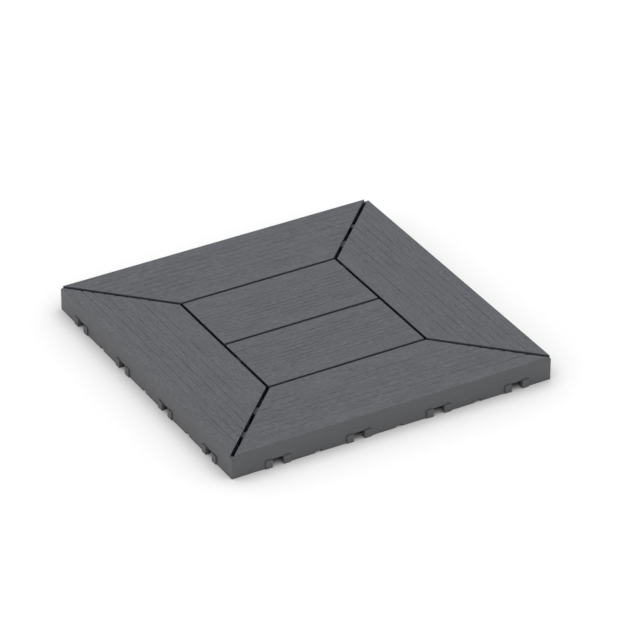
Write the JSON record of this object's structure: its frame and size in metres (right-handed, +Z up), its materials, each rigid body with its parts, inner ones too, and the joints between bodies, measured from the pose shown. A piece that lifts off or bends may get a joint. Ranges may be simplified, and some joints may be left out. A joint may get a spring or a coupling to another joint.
{
  "type": "interlocking deck tile",
  "caption": "Square moulded plastic deck tile with a slotted wood-look board pattern, ribbed underside, edge sockets on two sides and hooks on the other two.",
  "frame": {"origin": "middle of the square tile on the surface it rests on, at the underside of the middle foot", "axes": "+Z up out of the walking surface; the sockets are on the -Y front and the -X left side, the hooks on the +Y back and the +X right side; the two inner boards run along X"},
  "size_m": [0.3079, 0.3079, 0.022],
  "materials": {
    "tile_plastic": "matte moulded polypropylene with an embossed wood grain on top"
  },
  "bodies": {
    "root": {"deck_tile": "tile_plastic"}
  },
  "joints": []
}
